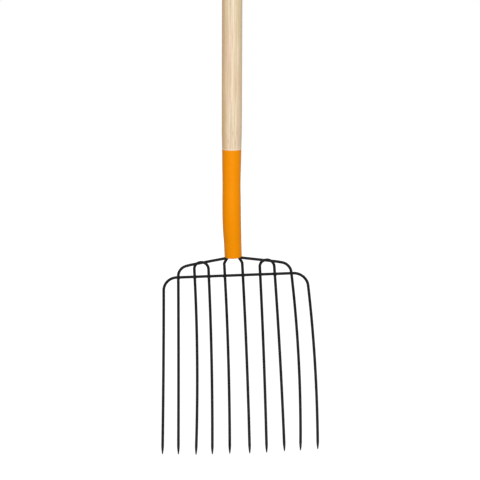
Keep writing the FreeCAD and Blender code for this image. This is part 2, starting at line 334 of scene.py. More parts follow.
@dataclass(frozen=True)
class RivetFinish:
    """Plain steel of a driven rivet."""

    name: str = "driven_rivet_steel"
    colour: Triple = (0.46, 0.45, 0.43)
    dull_colour: Triple = (0.24, 0.22, 0.20)
    roughness: tuple[float, float] = (0.3, 0.6)
    peel_size: float = 0.6 * MILLIMETRE
    patch_size: float = 3.0 * MILLIMETRE
    peel_depth: float = 0.05 * MILLIMETRE

    def material(self) -> bpy.types.Material:
        """Builds the steel's material.

        Returns:
            The material.
        """
        material, tree, shader = new_material(self.name)
        sizes = {"Peel Size": self.peel_size, "Patch Size": self.patch_size}
        surface = add_node(tree, "ShaderNodeGroup", sizes, node_tree=coat_texture()).outputs
        set_inputs(tree, shader, {
            "Base Color": blend_colours(tree, surface["Patch Mask"], self.colour, self.dull_colour),
            "Metallic": 1.0,
            "Roughness": map_range(tree, surface["Patch Mask"], *self.roughness),
            "Normal": bumped(tree, surface["Peel Height"], self.peel_depth),
        })
        return material


ORANGE_COAT = CoatFinish(
    name="orange_powder_coat",
    colour=(0.92, 0.288, 0.0006),
    dusty_colour=(0.88, 0.262, 0.001),
    roughness=(0.34, 0.46),
    peel_size=1.6 * MILLIMETRE,
    peel_depth=0.02 * MILLIMETRE,
    specular=0.06,
)
BLACK_COAT = CoatFinish(
    name="satin_black_paint",
    colour=(0.006, 0.006, 0.0065),
    dusty_colour=(0.011, 0.0105, 0.010),
    roughness=(0.42, 0.58),
    peel_size=0.9 * MILLIMETRE,
    peel_depth=0.015 * MILLIMETRE,
    specular=0.12,
)
WELD_COAT = CoatFinish(
    name="black_paint_on_weld",
    colour=(0.008, 0.008, 0.0085),
    dusty_colour=(0.018, 0.017, 0.016),
    roughness=(0.45, 0.65),
    peel_size=0.6 * MILLIMETRE,
    peel_depth=0.08 * MILLIMETRE,
    specular=0.2,
)


# Wood


@dataclass(frozen=True)
class Grain:
    """Noise that is drawn out along the handle, with its features in a metre across it and along it."""

    across: float
    along: float
    detail: float = 1.0
    seed: float = 0.0

    def add(self, tree: Tree, place: Socket) -> Socket:
        """Adds the noise.

        Args:
            tree: the tree that gets the nodes.
            place: where the noise is read.

        Returns:
            The noise's value socket.
        """
        stretched = add_node(tree, "ShaderNodeMapping", {
            "Vector": place,
            "Location": (self.seed, self.seed, self.seed),
            "Scale": (self.across, self.across, self.along),
        })
        return add_node(tree, "ShaderNodeTexNoise", {
            "Vector": stretched.outputs[0], "Scale": 1.0, "Detail": self.detail,
        }).outputs["Fac"]


@dataclass(frozen=True)
class Streak:
    """Long thin streaks of another colour. The share says how much of it shows."""

    colour: Triple
    grain: Grain
    share: float


@dataclass(frozen=True)
class SideTintAndPaintedShade:
    """Tinted, darker wood down one side of the pole as seen from the front, from where it starts to where it
    is full: partly the wood's own tint, partly painted shade at that edge of the pole. Its edge wavers.
    """

    colour: Triple
    start: float
    full: float
    share: float
    waver: Grain


@dataclass(frozen=True)
class AshFinish:
    """Turned ash with a thin clear coat. Its growth rings run through it and show as arcs on the butt."""

    name: str = "turned_ash"
    pale: Triple = (0.88, 0.715, 0.525)
    ring: Triple = (0.69, 0.505, 0.305)
    tan: Triple = (0.745, 0.435, 0.145)
    golden: Triple = (0.755, 0.56, 0.29)
    pink: Triple = (0.88, 0.58, 0.45)
    olive: Triple = (0.68, 0.61, 0.36)
    cream: Triple = (0.94, 0.82, 0.64)
    brown: Triple = (0.36, 0.24, 0.13)
    # Pale colour of a painted highlight: a lighter band on the wood just above the ferrule's top edge.
    painted_highlight_colour: Triple = (0.97, 0.86, 0.70)
    pith: Triple = (-34.0 * MILLIMETRE, -52.0 * MILLIMETRE, 0.0)
    ring_width: float = 3.1 * MILLIMETRE
    ring_share: float = 0.6
    ring_drift: float = 7.0 * MILLIMETRE
    ring_bend: Grain = Grain(16.0, 1.3, 2.0)
    late_wood: Pairs = ((0.0, 0.75), (0.12, 0.35), (0.55, 0.0), (0.9, 0.35), (1.0, 0.75))
    early_wood: Pairs = ((0.0, 1.0), (0.3, 0.3), (0.6, 0.05), (1.0, 0.9))
    streaks: tuple[Streak, ...] = (
        Streak(cream, Grain(260.0, 5.0, seed=23.0), 0.6),
        Streak(pink, Grain(300.0, 8.0, seed=3.0), 0.75),
        Streak(olive, Grain(330.0, 10.0, seed=13.0), 0.75),
        Streak(ring, Grain(420.0, 14.0, seed=17.0), 0.6),
    )
    streak_start: float = 0.48
    streak_full: float = 0.64
    # Tan and golden bands down the pole's left and right edges: partly the wood's tint, partly painted shade
    # that darkens those edges.
    side_tints_and_painted_shade: tuple[SideTintAndPaintedShade, ...] = (
        SideTintAndPaintedShade(tan, 0.0, -9.0 * MILLIMETRE, 0.5, Grain(60.0, 3.0, 3.0, 9.0)),
        SideTintAndPaintedShade(golden, 19.0 * MILLIMETRE, 25.0 * MILLIMETRE, 0.5, Grain(60.0, 3.0, 3.0, 21.0)),
    )
    side_drift: float = 14.0 * MILLIMETRE
    fibre_grain: Grain = Grain(1500.0, 14.0, 3.0, 5.0)
    fibre_shades: Pairs = ((0.3, 0.88), (0.7, 1.08))
    fibre_height: float = 0.5
    pore_grain: Grain = Grain(2600.0, 90.0, 1.0, 7.0)
    pore_edge: Pairs = ((0.58, 0.0), (0.68, 1.0))
    pore_share: float = 0.35
    fleck_grain: Grain = Grain(420.0, 50.0, 2.0, 33.0)
    fleck_edge: Pairs = ((0.58, 0.0), (0.7, 1.0))
    fleck_reach: tuple[float, float] = (50.0 * MILLIMETRE, 10.0 * MILLIMETRE)
    fleck_shares: tuple[float, float] = (0.1, 0.55)
    # Where the painted highlight above the ferrule starts and where it is full, and how much of it shows.
    painted_highlight_reach: tuple[float, float] = (3.2 * MILLIMETRE, 1.4 * MILLIMETRE)
    painted_highlight_shares: tuple[float, float] = (0.0, 0.35)
    surface_depth: float = 0.04 * MILLIMETRE
    roughness: tuple[float, float] = (0.42, 0.6)
    specular: float = 0.25
    coat_weight: float = 0.08
    coat_roughness: float = 0.3

    def material(self) -> bpy.types.Material:
        """Builds the wood's material.

        Returns:
            The material.
        """
        material, tree, shader = new_material(self.name)
        place = add_node(tree, "ShaderNodeTexCoord").outputs["Object"]
        late, rings = self._rings(tree, place)
        colour = blend_colours(tree, calculate(tree, "MULTIPLY", late, self.ring_share), self.pale, self.ring)
        for streak in self.streaks:
            edge = ((self.streak_start, 0.0), (self.streak_full, streak.share))
            mask = add_ramp(tree, streak.grain.add(tree, place), edge)
            colour = blend_colours(tree, mask, colour, streak.colour)
        # Painted shade, mixed with the wood's tint, darkens the pole's left and right edges.
        for shade in self.side_tints_and_painted_shade:
            colour = blend_colours(tree, self._side_tint_and_painted_shade_mask(tree, place, shade), colour, shade.colour)
        fibres = self.fibre_grain.add(tree, place)
        colour = blend_colours(tree, 1.0, colour, add_ramp(tree, fibres, self.fibre_shades), "MULTIPLY")
        pores = self._pores(tree, place, rings)
        pore_mask = calculate(tree, "MULTIPLY", pores, self.pore_share)
        dark = calculate(tree, "MAXIMUM", pore_mask, self._flecks(tree, place))
        colour = blend_colours(tree, dark, colour, self.brown)
        # Painted highlight: a lighter band on the wood just above the ferrule's top edge.
        painted_highlight_band = self._above_ferrule(tree, place, self.painted_highlight_reach, self.painted_highlight_shares)
        height = calculate(tree, "SUBTRACT", calculate(tree, "MULTIPLY", fibres, self.fibre_height), pores)
        set_inputs(tree, shader, {
            "Base Color": blend_colours(tree, painted_highlight_band, colour, self.painted_highlight_colour),
            "Normal": bumped(tree, height, self.surface_depth),
            "Roughness": map_range(tree, fibres, *self.roughness),
            "Specular IOR Level": self.specular,
            "Coat Weight": self.coat_weight,
            "Coat Roughness": self.coat_roughness,
        })
        return material

    def _rings(self, tree: Tree, place: Socket) -> tuple[Socket, Socket]:
        """Adds the growth rings round a pith outside the pole.

        Args:
            tree: the material's tree.
            place: where the rings are read.

        Returns:
            The dark late wood's mask, and how far through its ring each point is.
        """
        bend = calculate(tree, "SUBTRACT", self.ring_bend.add(tree, place), 0.5)
        bend = calculate(tree, "MULTIPLY", bend, self.ring_drift)
        from_pith = calculate_vector(tree, "SUBTRACT", place, self.pith)
        flat = calculate_vector(tree, "MULTIPLY", from_pith, (1.0, 1.0, 0.0))
        radius = calculate_vector(tree, "LENGTH", flat)
        count = calculate(tree, "DIVIDE", calculate(tree, "ADD", radius, bend), self.ring_width)
        rings = calculate(tree, "FRACT", count)
        return add_ramp(tree, rings, self.late_wood), rings

    def _side_tint_and_painted_shade_mask(self, tree: Tree, place: Socket, shade: SideTintAndPaintedShade) -> Socket:
        """Adds the mask of the tinted, darker wood down one side of the pole: partly wood tint, partly
        painted shade.

        Args:
            tree: the material's tree.
            place: where the mask is read.
            shade: the tint and painted shade.

        Returns:
            The mask's socket.
        """
        axes = add_node(tree, "ShaderNodeSeparateXYZ", {0: place})
        drift = calculate(tree, "MULTIPLY", shade.waver.add(tree, place), self.side_drift)
        across = calculate(tree, "ADD", axes.outputs["X"], drift)
        return map_range(tree, across, 0.0, shade.share, shade.start, shade.full)

    def _above_ferrule(
        self, tree: Tree, place: Socket, reach: tuple[float, float], shares: tuple[float, float]
    ) -> Socket:
        """Adds a mask that grows down the pole towards the ferrule's top edge.

        Args:
            tree: the material's tree.
            place: where the mask is read.
            reach: how far above the edge it starts to grow, and how far above it is full.
            shares: its value above the start, and when full.

        Returns:
            The mask's socket.
        """
        height = add_node(tree, "ShaderNodeSeparateXYZ", {0: place}).outputs["Z"]
        start, full = (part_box("ferrule")[1].z + distance for distance in reach)
        return map_range(tree, height, *shares, start, full)

    def _flecks(self, tree: Tree, place: Socket) -> Socket:
        """Adds the mask of sparse brown dashes, where the turned neck cuts through the grain.

        Args:
            tree: the material's tree.
            place: where the dashes are read.

        Returns:
            The mask's socket.
        """
        near = self._above_ferrule(tree, place, self.fleck_reach, self.fleck_shares)
        dashes = add_ramp(tree, self.fleck_grain.add(tree, place), self.fleck_edge)
        return calculate(tree, "MULTIPLY", dashes, near)

    def _pores(self, tree: Tree, place: Socket, rings: Socket) -> Socket:
        """Adds the mask of the open pores, which lie in the early wood as short dark dashes.

        Args:
            tree: the material's tree.
            place: where the pores are read.
            rings: how far through its ring each point is.

        Returns:
            The mask's socket.
        """
        dashes = add_ramp(tree, self.pore_grain.add(tree, place), self.pore_edge)
        return calculate(tree, "MULTIPLY", dashes, add_ramp(tree, rings, self.early_wood))


# Meshes


def add_object(name: str, data: bpy.types.ID) -> Piece:
    """Puts a new object into the scene.

    Args:
        name: the object's name.
        data: its mesh, curve, lamp or camera.

    Returns:
        The new object.
    """
    made = bpy.data.objects.new(name, data)
    bpy.context.scene.collection.objects.link(made)
    return made


def rings_mesh(name: str, rings: Sequence[Sequence[Vector]], around: bool) -> Piece:
    """Joins rings of points into a closed skin with rounded shading.

    Args:
        name: the object's name.
        rings: rings with the same number of points, in order.
        around: whether the last ring joins the first one, or both ends get a flat lid.

    Returns:
        The new object.
    """
    shell = bmesh.new()
    loops = [[shell.verts.new(point) for point in ring] for ring in rings]
    pairs = list(zip(loops, loops[1:]))
    if around:
        pairs.append((loops[-1], loops[0]))
    for lower, upper in pairs:
        for index, corner in enumerate(lower):
            after = (index + 1) % len(lower)
            shell.faces.new((corner, lower[after], upper[after], upper[index]))
    if not around:
        shell.faces.new(list(reversed(loops[0])))
        shell.faces.new(loops[-1])
    bmesh.ops.recalc_face_normals(shell, faces=shell.faces)
    mesh = bpy.data.meshes.new(name)
    shell.to_mesh(mesh)
    shell.free()
    mesh.shade_smooth()
    mesh.set_sharp_from_angle(angle=SHARP_ANGLE)
    return add_object(name, mesh)


def round_ring(place: Matrix, radius: float, sides: int) -> list[Vector]:
    """Makes the points of a round ring.

    Args:
        place: the ring's middle, with its Z axis square to the ring.
        radius: the ring's radius.
        sides: number of points.

    Returns:
        The points, in order.
    """
    angles = [2.0 * math.pi / sides * index for index in range(sides)]
    return [place @ Vector((radius * math.cos(angle), radius * math.sin(angle), 0.0)) for angle in angles]


def through_stations(stations: Pairs, distance: float) -> float:
    """Reads a smooth line through stations.

    Args:
        stations: distances with the value at each.
        distance: where the line is read.

    Returns:
        The value there.
    """
    slopes = [(b[1] - a[1]) / (b[0] - a[0]) for a, b in zip(stations, stations[1:])]
    tangents = [slopes[0], *((a + b) / 2.0 for a, b in zip(slopes, slopes[1:])), slopes[-1]]
    index = max(0, min(len(slopes) - 1, sum(distance > station[0] for station in stations) - 1))
    (start, low), (end, high) = stations[index], stations[index + 1]
    length = end - start
    share = min(1.0, max(0.0, (distance - start) / length))
    squared, cubed = share**2, share**3
    return (
        low * (2.0 * cubed - 3.0 * squared + 1.0)
        + high * (3.0 * squared - 2.0 * cubed)
        + tangents[index] * length * (cubed - 2.0 * squared + share)
        + tangents[index + 1] * length * (cubed - squared)
    )


def finish_piece(piece: Piece, material: bpy.types.Material, slot: Slot, *nodes: str) -> None:
    """Dresses a finished piece and ties it to the frame.

    Args:
        piece: the finished object.
        material: its material.
        slot: not used.
        nodes: CAD nodes that it stands for.
    """
    piece.data.materials.clear()
    piece.data.materials.append(material)
    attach(piece, "root")
    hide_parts(*nodes)
    log.info("%s: %d faces, %s", piece.name, len(piece.data.polygons), material.name)


def dress_node(name: str, material: bpy.types.Material) -> None:
    """Gives a CAD node that stays in view its material.

    Args:
        name: the node's name.
        material: its material.
    """
    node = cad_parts[name]
    for index in range(len(node.data.materials)):
        node.data.materials[index] = material
    log.info("%s: kept from the frame, %s", name, material.name)


# Ferrule and handle


@dataclass
class FerrulePath:
    """Centreline of the ferrule and of the handle's end inside it: straight, bent to the back, straight."""

    upper_length: float = 101.0 * MILLIMETRE
    bend_radius: float = 450.0 * MILLIMETRE
    lower_length: float = 18.0 * MILLIMETRE
    mouth_length: float = 30.5 * MILLIMETRE
    back_angle: float = 7.5
    side_angle: float = 2.0

    def __post_init__(self) -> None:
        """Works out the bend's direction and lengths."""
        back = math.tan(math.radians(self.back_angle))
        side = math.tan(math.radians(self.side_angle))
        self.angle = math.atan(math.hypot(back, side))
        self.heading = Vector((side, back, 0.0)).normalized()
        self.axis = Vector((self.heading.y, -self.heading.x, 0.0))
        self.bend_end = self.upper_length + self.bend_radius * self.angle
        self.length = self.bend_end + self.lower_length + self.mouth_length
        self.top = Vector((0.0, 0.0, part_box("ferrule")[1].z))

    def place(self, distance: float) -> Matrix:
        """Finds a place on the centreline.

        Args:
            distance: how far below the ferrule's top edge.

        Returns:
            The place, with its Z axis up along the centreline.
        """
        bent = min(max(distance - self.upper_length, 0.0), self.bend_end - self.upper_length)
        angle = bent / self.bend_radius
        turn = Matrix.Rotation(angle, 4, self.axis)
        down = min(distance, self.upper_length) + self.bend_radius * math.sin(angle)
        across = self.bend_radius * (1.0 - math.cos(angle))
        beyond = max(distance - self.bend_end, 0.0)
        bend_point = self.top + self.heading * across - Vector((0.0, 0.0, down))
        return Matrix.Translation(bend_point + turn @ Vector((0.0, 0.0, -beyond))) @ turn


@dataclass
class Ferrule:
    """Bent tapered tube with rounded edges, and the rivet at its back."""

    path: FerrulePath
    wall: float = 1.5 * MILLIMETRE
    top_diameter: float = 36.6 * MILLIMETRE
    collar_diameter: float = 35.4 * MILLIMETRE
    waist_diameter: float = 34.6 * MILLIMETRE
    bend_diameter: float = 35.4 * MILLIMETRE
    knee_diameter: float = 35.0 * MILLIMETRE
    lower_diameter: float = 33.9 * MILLIMETRE
    mouth_diameter: float = 33.4 * MILLIMETRE
    collar_length: float = 38.0 * MILLIMETRE
    waist_drop: float = 68.0 * MILLIMETRE
    waist_shift: float = -0.25 * MILLIMETRE
    lower_shift: float = 0.12 * MILLIMETRE
    sides: int = 96
    ring_pitch: float = 3.0 * MILLIMETRE
    lip_steps: int = 8

    def radius(self, distance: float) -> float:
        """Reads the tube's outside radius.

        Args:
            distance: how far below the top edge.

        Returns:
            The radius there.
        """
        path = self.path
        stations = (
            (0.0, self.top_diameter),
            (self.collar_length, self.collar_diameter),
            (self.waist_drop, self.waist_diameter),
            (path.upper_length, self.bend_diameter),
            (path.bend_end, self.knee_diameter),
            (path.bend_end + path.lower_length, self.lower_diameter),
            (path.length, self.mouth_diameter),
        )
        return through_stations(stations, distance) / 2.0

    def ring_place(self, distance: float) -> Matrix:
        """Finds the place of the tube's ring, which stands a little off the centreline at the waist.

        Args:
            distance: how far below the top edge.

        Returns:
            The ring's place, with its Z axis up along the tube.
        """
        path = self.path
        stations = (
            (0.0, 0.0),
            (self.waist_drop, self.waist_shift),
            (path.upper_length, 0.0),
            (path.bend_end, 0.0),
            (path.bend_end + path.lower_length, self.lower_shift),
            (path.length, 0.0),
        )
        return path.place(distance) @ Matrix.Translation((through_stations(stations, distance), 0.0, 0.0))

    def _wall_outline(self) -> list[tuple[float, float]]:
        """Goes round the wall: down the outside, round the mouth's lip, up the inside, round the top's lip.

        Returns:
            How far each point is below the top edge and inside the tube's skin.
        """
        half = self.wall / 2.0
        count = round((self.path.length - self.wall) / self.ring_pitch)
        down = [half + (self.path.length - self.wall) * index / count for index in range(count + 1)]
        turns = [math.pi * (index + 1) / (self.lip_steps + 1) for index in range(self.lip_steps)]
        low_lip = [(down[-1] + half * math.sin(turn), half * (1.0 - math.cos(turn))) for turn in turns]
        top_lip = [(half - half * math.sin(turn), half * (1.0 + math.cos(turn))) for turn in turns]
        outside = [(distance, 0.0) for distance in down]
        inside = [(distance, self.wall) for distance in reversed(down)]
        return outside + low_lip + inside + top_lip

    def build(self) -> Piece:
        """Builds the tube's mesh.

        Returns:
            The tube's object.
        """
        rings = [
            round_ring(self.ring_place(distance), self.radius(distance) - inset, self.sides)
            for distance, inset in self._wall_outline()
        ]
        return rings_mesh("bent_ferrule", rings, around=True)

    def dress(self, coat: CoatFinish, rivet: RivetFinish) -> None:
        """Builds the tube, coats it and finishes the rivet.

        Args:
            coat: finish of the tube.
            rivet: finish of the rivet.
        """
        finish_piece(self.build(), coat.material(), Slot.ORANGE, "ferrule")
        dress_node("handle_rivet", rivet.material())


@dataclass
class Handle:
    """Turned pole with a crowned butt and a slight neck, which runs on inside the ferrule to its mouth."""

    ferrule: Ferrule
    neck_diameter: float = 36.6 * MILLIMETRE
    neck_length: float = 38.0 * MILLIMETRE
    butt_radius: float = 9.0 * MILLIMETRE
    butt_crown: float = 2.5 * MILLIMETRE
    end_recess: float = 8.0 * MILLIMETRE
    fit_clearance: float = 0.15 * MILLIMETRE
    sides: int = 96
    grip_rings: int = 12
    round_steps: int = 14
    stub_rings: int = 40

    def _pole_stations(self) -> list[tuple[float, float]]:
        """Goes down the pole, from the butt's middle to the ferrule's top edge.

        Returns:
            The height and radius of each ring.
        """
        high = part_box("handle")[1]
        radius = high.x
        rim_radius = radius - self.butt_radius
        crown_radius = (rim_radius**2 + self.butt_crown**2) / (2.0 * self.butt_crown)
        crown_angle = math.asin(rim_radius / crown_radius)
        butt_z = high.z - self.butt_crown - self.butt_radius
        top_z = self.ferrule.path.top.z
        neck_z = top_z + self.neck_length
        steps = [index / self.round_steps for index in range(1, self.round_steps + 1)]
        stations = []
        for share in steps:
            angle = crown_angle * share
            stations.append((high.z - crown_radius * (1.0 - math.cos(angle)), crown_radius * math.sin(angle)))
        for share in steps:
            angle = math.pi / 2.0 * share
            height = butt_z + self.butt_radius * math.cos(angle)
            stations.append((height, rim_radius + self.butt_radius * math.sin(angle)))
        for index in range(1, self.grip_rings + 1):
            stations.append((butt_z + (neck_z - butt_z) * index / self.grip_rings, radius))
        for share in steps:
            narrowed = (radius - self.neck_diameter / 2.0) * share * share * (3.0 - 2.0 * share)
            stations.append((neck_z + (top_z - neck_z) * share, radius - narrowed))
        return stations

    def build(self) -> Piece:
        """Builds the pole's mesh, down to its end in the ferrule's mouth.

        Returns:
            The handle's object.
        """
        rings = [
            round_ring(Matrix.Translation((0.0, 0.0, height)), radius, self.sides)
            for height, radius in self._pole_stations()
        ]
        inside = self.ferrule.path.length - self.end_recess
        for index in range(self.stub_rings + 1):
            distance = inside * index / self.stub_rings
            radius = self.ferrule.radius(distance) - self.ferrule.wall - self.fit_clearance
            rings.append(round_ring(self.ferrule.ring_place(distance), radius, self.sides))
        return rings_mesh("ash_handle", rings, around=False)

    def dress(self, finish: AshFinish) -> None:
        """Builds the handle and gives it its wood."""
        finish_piece(self.build(), finish.material(), Slot.ASH, "handle")


# Rods


@dataclass(frozen=True)
class RodRing:
    """One round ring of a rod in the frame."""

    centre: Vector
    heading: Vector


def connected_groups(mesh: bmesh.types.BMesh) -> list[list[bmesh.types.BMVert]]:
    """Sorts the corners of a mesh into groups that edges join.

    Args:
        mesh: the mesh.

    Returns:
        The groups of corners.
    """
    left = set(mesh.verts)
    groups = []
    while left:
        waiting = [left.pop()]
        group = list(waiting)
        while waiting:
            for edge in waiting.pop().link_edges:
                for corner in edge.verts:
                    if corner in left:
                        left.remove(corner)
                        waiting.append(corner)
                        group.append(corner)
        groups.append(group)
    return groups


def middle_of(points: Sequence[Vector]) -> Vector:
    """Finds the mean of points."""
    return sum(points, Vector()) / len(points)


def flat_end(mesh: bmesh.types.BMesh, sort_key: Callable[[Vector], float]) -> KDTree:
    """Finds the rim of a rod's flat end. The ends are the rod's smallest faces.

    Args:
        mesh: the rod, with a loose group of corners for each face of the solid.
        sort_key: says of a middle point how early its end comes.

    Returns:
        The rim's corners, for lookups.
    """
    groups = [[corner.co.copy() for corner in group] for group in connected_groups(mesh)]
    fewest = min(len(group) for group in groups)
    ends = [group for group in groups if len(group) == fewest]
    rim = min(ends, key=lambda group: sort_key(middle_of(group)))
    lookup = KDTree(len(rim))
    for index, point in enumerate(rim):
        lookup.insert(point, index)
    lookup.balance()
    return lookup


def rod_rings(node: Piece, sort_key: Callable[[Vector], float]) -> list[RodRing]:
    """Follows a rod of the frame from one flat end to the other, ring by ring.

    Args:
        node: the CAD node.
        sort_key: says of a middle point how early its end comes.

    Returns:
        The rings, from the end that comes first.
    """
    mesh = bmesh.new()
    mesh.from_mesh(node.data)
    rim = flat_end(mesh, sort_key)
    bmesh.ops.remove_doubles(mesh, verts=mesh.verts, dist=MERGE_DISTANCE)
    mesh.verts.index_update()
    layer = {corner for corner in mesh.verts if rim.find(corner.co)[2] < MERGE_DISTANCE}
    seen = set(layer)
    layers = []
    while layer:
        in_order = sorted(layer, key=lambda corner: corner.index)
        layers.append([corner.co.copy() for corner in in_order])
        layer = {edge.other_vert(corner) for corner in layer for edge in corner.link_edges} - seen
        seen |= layer
    mesh.free()
    centres = [middle_of(points) for points in layers]
    rings = []
    for index, (centre, points) in enumerate(zip(centres, layers)):
        first = points[0] - centre
        second = min((point - centre for point in points), key=lambda arm: abs(arm.dot(first)))
        normal = first.cross(second).normalized()
        onward = centres[min(index + 1, len(centres) - 1)] - centres[max(index - 1, 0)]
        rings.append(RodRing(centre, normal if normal.dot(onward) > 0.0 else -normal))
    return rings


def rod_curve(name: str, rings: Sequence[RodRing]) -> Piece:
    """Makes the smooth centreline of a rod: arcs between rings that turn, straight lines elsewhere.

    Args:
        name: the object's name.
        rings: the rod's rings.

    Returns:
        A curve object of one Bezier spline.
    """
    curve = bpy.data.curves.new(name, "CURVE")
    curve.dimensions = "3D"
    spline = curve.splines.new("BEZIER")
    spline.bezier_points.add(len(rings) - 1)
    for index, (point, ring) in enumerate(zip(spline.bezier_points, rings)):
        reach = []
        for near in (rings[max(index - 1, 0)], rings[min(index + 1, len(rings) - 1)]):
            # Handles of this length make a Bezier curve follow the arc between two rings.
            turn = ring.heading.angle(near.heading)
            reach.append((near.centre - ring.centre).length / (3.0 * math.cos(turn / 4.0) ** 2))
        point.handle_left_type = point.handle_right_type = "FREE"
        point.co = ring.centre
        point.handle_left = ring.centre - ring.heading * reach[0]
        point.handle_right = ring.centre + ring.heading * reach[1]
    return add_object(name, curve)


def geometry_tree(name: str, inputs: Sequence[tuple[str, str, Any]]) -> Tree:
    """Starts a Geometry Nodes tree with named inputs.

    Args:
        name: the tree's name.
        inputs: each input's name, socket type and default.

    Returns:
        The tree, with a geometry input and output.
    """
    tree = bpy.data.node_groups.new(name, "GeometryNodeTree")
    tree.interface.new_socket(name="Geometry", in_out="INPUT", socket_type="NodeSocketGeometry")
    tree.interface.new_socket(name="Geometry", in_out="OUTPUT", socket_type="NodeSocketGeometry")
    for socket_name, kind, default in inputs:
        socket = tree.interface.new_socket(name=socket_name, in_out="INPUT", socket_type=kind)
        if default is not None:
            socket.default_value = default
    return tree


def finish_tree(tree: Tree, geometry: Socket, material: Socket) -> None:
    """Ends a Geometry Nodes tree in real, smooth and dressed geometry.

    Args:
        tree: the tree.
        geometry: what it has made.
        material: the finish for it.
    """
    real = add_node(tree, "GeometryNodeRealizeInstances", {0: geometry})
    smooth = add_node(tree, "GeometryNodeSetShadeSmooth", {"Geometry": real.outputs[0]})
    dressed = add_node(tree, "GeometryNodeSetMaterial", {"Geometry": smooth.outputs[0], "Material": material})
    add_node(tree, "NodeGroupOutput", {0: dressed.outputs[0]})


def run_tree(source: Piece, tree: Tree, name: str, values: Inputs) -> Piece:
    """Runs a Geometry Nodes tree on an object and keeps the result as a plain mesh.

    Args:
        source: the object that the tree starts from. It is removed.
        tree: the tree.
        name: the new object's name.
        values: the tree's inputs by name.

    Returns:
        The new mesh object.
    """
    modifier = source.modifiers.new(tree.name, "NODES")
    modifier.node_group = tree
    for item in tree.interface.items_tree:
        if item.item_type == "SOCKET" and item.in_out == "INPUT" and item.name in values:
            modifier[item.identifier] = values[item.name]
    bpy.context.view_layer.update()
    evaluated = source.evaluated_get(bpy.context.evaluated_depsgraph_get())
    mesh = bpy.data.meshes.new_from_object(evaluated)
    mesh.name = name
    bpy.data.objects.remove(source)
    return add_object(name, mesh)


def rod_tree(point_profile: Pairs) -> Tree:
    """Builds the tree that sweeps a round rod along its centreline and grinds its points.

    Args:
        point_profile: shares of the point's length from its end, with shares of the rod's radius.

    Returns:
        The Geometry Nodes tree.
    """
    tree = geometry_tree("round_rod", (
        ("Rod Radius", "NodeSocketFloat", 2.6 * MILLIMETRE),
        ("Point Length", "NodeSocketFloat", 16.0 * MILLIMETRE),
        ("First End Pointed", "NodeSocketBool", False),
        ("Last End Pointed", "NodeSocketBool", True),
        ("Sides", "NodeSocketInt", 20),
        ("Steps", "NodeSocketInt", 6),
        ("Finish", "NodeSocketMaterial", None),
    ))
    given = tree.nodes.new("NodeGroupInput").outputs
    fine = add_node(
        tree, "GeometryNodeSetSplineResolution", {"Geometry": given["Geometry"], "Resolution": given["Steps"]}
    )
    path = add_node(tree, "GeometryNodeResampleCurve", {"Curve": fine.outputs[0]}, mode="EVALUATED")
    length = add_node(tree, "GeometryNodeSplineLength").outputs["Length"]
    along = add_node(tree, "GeometryNodeSplineParameter").outputs["Length"]
    to_last = calculate(tree, "SUBTRACT", length, along)
    from_ends = []
    for walked, pointed in ((along, "First End Pointed"), (to_last, "Last End Pointed")):
        plain = calculate(tree, "SUBTRACT", 1.0, given[pointed])
        from_ends.append(calculate(tree, "ADD", walked, calculate(tree, "MULTIPLY", plain, length)))
    nearest = calculate(tree, "MINIMUM", *from_ends)
    share = calculate(tree, "DIVIDE", nearest, given["Point Length"], clamp=True)
    profile = add_node(tree, "ShaderNodeFloatCurve", {"Value": share})
    line = profile.mapping.curves[0]
    while len(line.points) < len(point_profile):
        line.points.new(0.5, 0.5)
    for point, (place, level) in zip(line.points, point_profile):
        point.location = (place, level)
        point.handle_type = "VECTOR"
    profile.mapping.update()
    radius = calculate(tree, "MULTIPLY", profile.outputs[0], given["Rod Radius"])
    section = add_node(
        tree, "GeometryNodeCurvePrimitiveCircle", {"Resolution": given["Sides"], "Radius": 1.0}, mode="RADIUS"
    )
    swept = add_node(tree, "GeometryNodeCurveToMesh", {
        "Curve": path.outputs[0], "Profile Curve": section.outputs[0], "Scale": radius, "Fill Caps": True,
    })
    finish_tree(tree, swept.outputs[0], given["Finish"])
    return tree


# Weld metal

SMALLEST_BEAD = 0.92
LARGEST_BEAD = 1.08


